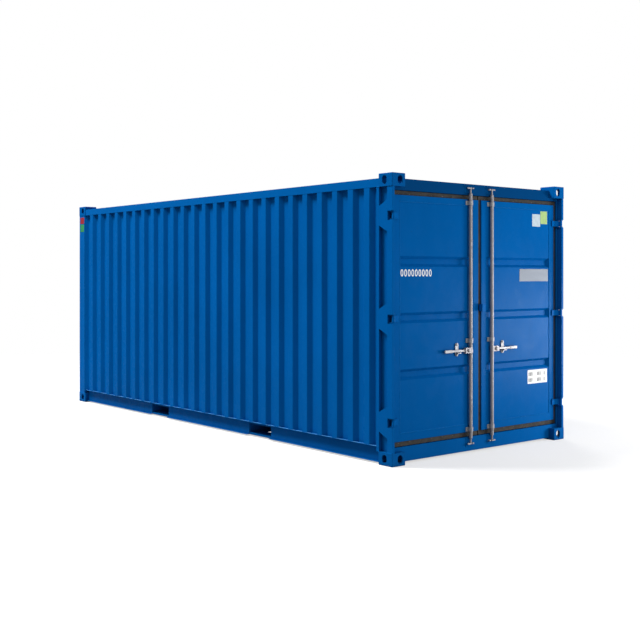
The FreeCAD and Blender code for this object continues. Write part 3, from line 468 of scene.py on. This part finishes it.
# --------------------------------------------------- lock gear and hinge details
for side, sx in SIDES:
    door = side + "_door"
    bm = bmesh.new()
    for z in GUIDE_HEIGHTS:
        for dx in (-GUIDE_RIVET_DX, GUIDE_RIVET_DX):
            for dz in (-GUIDE_RIVET_DZ, GUIDE_RIVET_DZ):
                seat = (sx * ROD_X + dx, DOOR_Y - GUIDE_PLATE, z + dz)
                add_dome(bm, seat, TOWARD, **GUIDE_RIVET)
    smooth(piece("guide_rivets_" + side, bm, zinc, door))

    bm = bmesh.new()
    for dz in (-CATCH_BOLT_DZ, CATCH_BOLT_DZ):
        seat = (sx * CATCH_X, DOOR_Y - CATCH_PLATE, CATCH_Z + dz)
        add_hex(bm, seat, TOWARD, **CATCH_BOLT)
    smooth(piece("catch_bolts_" + side, bm, bright_zinc, door))

    bm = bmesh.new()
    seat = (sx * PIVOT_X, CLEVIS_Y - CLEVIS_HALF_DEPTH, HANDLE_Z)
    add_hex(bm, seat, TOWARD, **PIVOT_BOLT)
    smooth(piece("pivot_bolt_" + side, bm, zinc, side + "_lock_rod"))

    bm = bmesh.new()
    for z in HINGE_HEIGHTS:
        for up in (-1, 1):
            lug_end = (sx * PIN_X, PIN_Y, z + up * LUG_HALF_HEIGHT)
            add_turned(bm, PIN_HEAD, lug_end, (0, 0, up))
    smooth(piece("hinge_pin_heads_" + side, bm, lit_hinge_paint, "container"))

    bm = bmesh.new()
    y = DOOR_Y - SINK
    for z in HINGE_HEIGHTS:
        x = sx * (LEAF_X1 - BLADE_WELD_INSET)
        start, stop = (x, y, z - BLADE_WELD_HALF), (x, y, z + BLADE_WELD_HALF)
        add_bead(bm, start, stop, SEAM_BEAD, (-sx, 0, 0), TOWARD)
    smooth(piece("blade_welds_" + side, bm, weld, door))

    bm = bmesh.new()
    for z0, z1 in KEEPER_SPANS:
        for dx in (-KEEPER_WELD_DX, KEEPER_WELD_DX):
            x = sx * ROD_X + dx
            start, stop = (x, y, z0 + KEEPER_WELD_MARGIN), (x, y, z1 - KEEPER_WELD_MARGIN)
            add_bead(bm, start, stop, KEEPER_BEAD, ALONG_X, TOWARD)
    smooth(piece("keeper_welds_" + side, bm, weld, "container"))

    # Zinc faces on the bars that shield the cams.
    bm = bmesh.new()
    for z in CAM_HEIGHTS:
        x0, x1 = sorted((sx * (ROD_X - TAB_FAR), sx * (ROD_X - TAB_NEAR)))
        low, high = (x0, TAB_Y0, z - TAB_HALF_HEIGHT), (x1, TAB_Y1, z + TAB_HALF_HEIGHT)
        add_block(bm, low, high, TAB_EDGE)
    smooth(piece("keeper_tabs_" + side, bm, zinc, "container"))

# ------------------------------------------------------------------ seal strips
def rivet_row(first, last, count):
    """Even places between two ends, each end held in by the margin."""
    reach = last - first - 2 * SEAL_RIVET_MARGIN
    return [first + SEAL_RIVET_MARGIN + i * reach / (count - 1) for i in range(count)]


for side, sx in SIDES:
    bm = bmesh.new()
    for z in rivet_row(LEAF_Z0, LEAF_Z1, SEAL_RIVETS_UP):
        add_dome(bm, (sx * (LEAF_X1 + SEAL_BESIDE), SEAL_Y, z), TOWARD, **SEAL_RIVET)
    for x in rivet_row(LEAF_X0, LEAF_X1, SEAL_RIVETS_ACROSS):
        for z in (LEAF_Z0 - SEAL_BELOW, LEAF_Z1 + SEAL_ABOVE):
            add_dome(bm, (sx * x, SEAL_Y, z), TOWARD, **SEAL_RIVET)
    smooth(piece("seal_rivets_" + side, bm, dull_zinc, side + "_door"))

# ------------------------------------------------------------------- weld seams
# Seam round each leaf's panel.
for side, sx in SIDES:
    bm = bmesh.new()
    y = PANEL_SEAM_Y
    x0, x1 = sx * (LEAF_X0 + PANEL_INSET_X), sx * (LEAF_X1 - PANEL_INSET_X)
    z0, z1 = LEAF_Z0 + PANEL_INSET_LOW, LEAF_Z1 - PANEL_INSET_HIGH
    for z in (z0, z1):
        add_bead(bm, (x0, y, z), (x1, y, z), PANEL_BEAD, UPWARD, TOWARD)
    for x in (x0, x1):
        add_bead(bm, (x, y, z0), (x, y, z1), PANEL_BEAD, ALONG_X, TOWARD)
    smooth(piece("panel_welds_" + side, bm, weld, side + "_door"))

# Seams between the posts and the castings, on the sides and both ends.
SIDE_SEAMS = ((-HALF_L + 0.012, -HALF_L + 0.064), (-HALF_L + 0.176, -HALF_L + 0.206),
              (HALF_L - 0.144, HALF_L - 0.012))
# How far in from the side each end's seam starts, and which end it is on.
END_SEAMS = ((0.031, -1), (0.126, 1))
END_SEAM_STOP = 0.010
for side, sx in SIDES:
    bm = bmesh.new()
    x = sx * (POST_FACE_X - POST_SINK)
    for z in (CASTING_HEIGHT, TOP - CASTING_HEIGHT):
        for y0, y1 in SIDE_SEAMS:
            add_bead(bm, (x, y0, z), (x, y1, z), SEAM_BEAD, UPWARD, (sx, 0, 0))
        for inner, end in END_SEAMS:
            y = end * (POST_FACE_Y - POST_SINK)
            start, stop = (sx * (HALF_W - inner), y, z), (sx * (HALF_W - END_SEAM_STOP), y, z)
            add_bead(bm, start, stop, SEAM_BEAD, UPWARD, (0, end, 0))
    smooth(piece("post_welds_" + side, bm, weld, "container"))

# Foot weld of the side wall along the edge of the bottom rail, painted bright as a highlight
# on the rail's top edge.
for side, sx in SIDES:
    bm = bmesh.new()
    x = sx * (HALF_W - FOOT_WELD_INSET)
    start, stop = (x, FOOT_WELD_Y0, RAIL_TOP_Z), (x, FOOT_WELD_Y1, RAIL_TOP_Z)
    add_bead(bm, start, stop, FOOT_BEAD, ALONG_X, UPWARD)
    smooth(piece("foot_weld_" + side, bm, highlight_weld, "container"))


# --------------------------------------------------------------- labels and marks
def film(name, low, high, m, body):
    """Thin flat film with slightly rounded edges."""
    bm = bmesh.new()
    add_block(bm, low, high, FILM_EDGE)
    return piece(name, bm, m, body)


def leaf_film(name, x0, x1, z0, z1, m):
    """Film on the right leaf's panel."""
    return film(name, (x0, PANEL_Y - FILM, z0), (x1, PANEL_Y, z1), m, "right_door")


leaf_film("pale_label", 0.792, 0.918, 2.177, 2.302, pale_film)
leaf_film("green_label", 0.922, 1.030, 2.206, 2.335, green_film)
leaf_film("data_label", 0.720, 1.028, 0.593, 0.731, white_film)

# Plain bars stand in for the lines of print on the data label.
bm = bmesh.new()
for z in (0.612, 0.672):
    for x0, x1 in ((0.735, 0.815), (0.865, 0.955), (0.975, 1.010)):
        for i in range(int((x1 - x0) / BAR_PITCH)):
            x = x0 + i * BAR_PITCH
            low = (x, PANEL_Y - FILM - INK, z)
            high = (x + BAR_WIDTH, PANEL_Y - FILM, z + BAR_HEIGHT)
            add_block(bm, low, high, INK_EDGE)
piece("data_label_bars", bm, dark_ink, "right_door")

bm = bmesh.new()
for x in (0.604, 1.030):
    for z in (1.636, 1.735):
        add_dome(bm, (x, PLATE_FACE_Y, z), TOWARD, **PLATE_RIVET)
smooth(piece("data_plate_rivets", bm, zinc, "right_door"))

# Two plain squares on the left side, near the front end's top corner.
SQUARE_X0 = -POST_FACE_X - 0.0007
SQUARE_X1 = SQUARE_X0 + 0.0009
SQUARE_Y0, SQUARE_Y1 = 2.895, 3.000
for name, z0, z1, m in (("red_square", 2.364, 2.448, red_film),
                        ("green_square", 2.258, 2.356, leaf_green_film)):
    film(name, (SQUARE_X0, SQUARE_Y0, z0), (SQUARE_X1, SQUARE_Y1, z1), m, "container")

# Nine plain zeros in the place of the left leaf's number.
curve = bpy.data.curves.new("digits", "FONT")
curve.body = "000000000"
curve.size = 0.088
curve.extrude = 0.0003
curve.space_character = 1.22
curve.offset = 0.0016
digits = bpy.data.objects.new("plain_digits", curve)
bpy.context.scene.collection.objects.link(digits)
digits.location = (-1.052, PANEL_Y - INK, 1.677)
digits.rotation_euler = (math.radians(90), 0, 0)
digits.scale = (0.84, 1, 1)
curve.materials.append(white_film)
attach(digits, "left_door")

# -------------------------------------------------------------- floor and camera
REACH = 60
PALE_GREY = (0.42, 0.42, 0.42, 1)
DULL_GREY = (0.30, 0.30, 0.30, 1)
WHITE = (1, 1, 1, 1)
FADE_START, FADE_END = 4.0, 11.0

floor_mesh = bpy.data.meshes.new("floor")
corners = [(-REACH, -REACH, 0), (REACH, -REACH, 0), (REACH, REACH, 0), (-REACH, REACH, 0)]
floor_mesh.from_pydata(corners, [], [(0, 1, 2, 3)])
floor = bpy.data.objects.new("floor", floor_mesh)
bpy.context.scene.collection.objects.link(floor)

# The camera sees the pale, slightly glowing floor. Other rays meet a duller one.
# Both fade into the backdrop further out.
p = Paint("pale_floor")
pale = p.set(Base_Color=PALE_GREY, Roughness=0.9, Specular_IOR_Level=0.1,
             Emission_Color=WHITE, Emission_Strength=0.60)
dull = p.node("ShaderNodeBsdfDiffuse")
dull.inputs["Color"].default_value = DULL_GREY
clear = p.node("ShaderNodeBsdfTransparent")
ray = p.node("ShaderNodeLightPath")
away = p.node("ShaderNodeVectorMath", operation="LENGTH")
p.link(p.place, away.inputs[0])
by_ray = p.node("ShaderNodeMixShader")
p.link(ray.outputs["Is Camera Ray"], by_ray.inputs[0])
p.link(dull.outputs[0], by_ray.inputs[1])
p.link(p.shader.outputs[0], by_ray.inputs[2])
fade_out = p.node("ShaderNodeMixShader")
p.link(p.span(away.outputs["Value"], FADE_START, FADE_END, 0.0, 1.0), fade_out.inputs[0])
p.link(by_ray.outputs[0], fade_out.inputs[1])
p.link(clear.outputs[0], fade_out.inputs[2])
p.link(fade_out.outputs[0], p.tree.nodes["Material Output"].inputs["Surface"])
floor_mesh.materials.append(pale)

camera_data = bpy.data.cameras.new("camera")
camera = bpy.data.objects.new("camera", camera_data)
bpy.context.scene.collection.objects.link(camera)
camera_data.lens = 56.74
camera_data.sensor_width = 36
camera_data.shift_y = -0.0717
camera.location = (-7.333, -9.441, 1.696)
camera.rotation_euler = (math.radians(90), 0, math.radians(-39.543))
bpy.context.scene.camera = camera

# ------------------------------------------------------------------------ lights
# A bright backdrop for the camera only, and a dimmer sky that lights the object.
BACKDROP_STRENGTH = 1.0
SKY_STRENGTH = 0.21

bpy.context.scene.view_settings.view_transform = "Standard"
world = bpy.data.worlds.new("world")
bpy.context.scene.world = world
world.use_nodes = True
world_nodes = world.node_tree.nodes
sky = world_nodes["Background"]
sky.inputs["Color"].default_value = WHITE
sky.inputs["Strength"].default_value = SKY_STRENGTH
backdrop = world_nodes.new("ShaderNodeBackground")
backdrop.inputs["Color"].default_value = WHITE
backdrop.inputs["Strength"].default_value = BACKDROP_STRENGTH
seen = world_nodes.new("ShaderNodeLightPath")
choice = world_nodes.new("ShaderNodeMixShader")
for a, b in ((seen.outputs["Is Camera Ray"], choice.inputs[0]),
             (sky.outputs[0], choice.inputs[1]),
             (backdrop.outputs[0], choice.inputs[2]),
             (choice.outputs[0], world_nodes["World Output"].inputs["Surface"])):
    world.node_tree.links.new(a, b)


def softbox(name, place, target, width, height, power):
    """Rectangular light that faces a target. Power is in watts."""
    light = bpy.data.lights.new(name, "AREA")
    light.shape = "RECTANGLE"
    light.size = width
    light.size_y = height
    light.energy = power
    o = bpy.data.objects.new(name, light)
    bpy.context.scene.collection.objects.link(o)
    o.location = place
    aim = Vector(target) - Vector(place)
    o.rotation_euler = aim.to_track_quat("-Z", "Y").to_euler()


softbox("key", (-8.0, 6.0, 17.0), (0, 0, 1.2), 6, 6, 5500)
softbox("left_front", (-4.0, -7.0, 9.0), (-1, -3, 1), 4, 4, 120)
softbox("front", (0.8, -8.0, 2.6), (0.3, -3, 1.0), 3, 3, 92)
softbox("rear_fill", (9.0, 9.0, 7.0), (0, 1, 1.2), 5, 5, 900)
softbox("door_strip", (4.1, -5.3, 0.9), (1.0, -3.0, 0.8), 1.6, 1.3, 150)
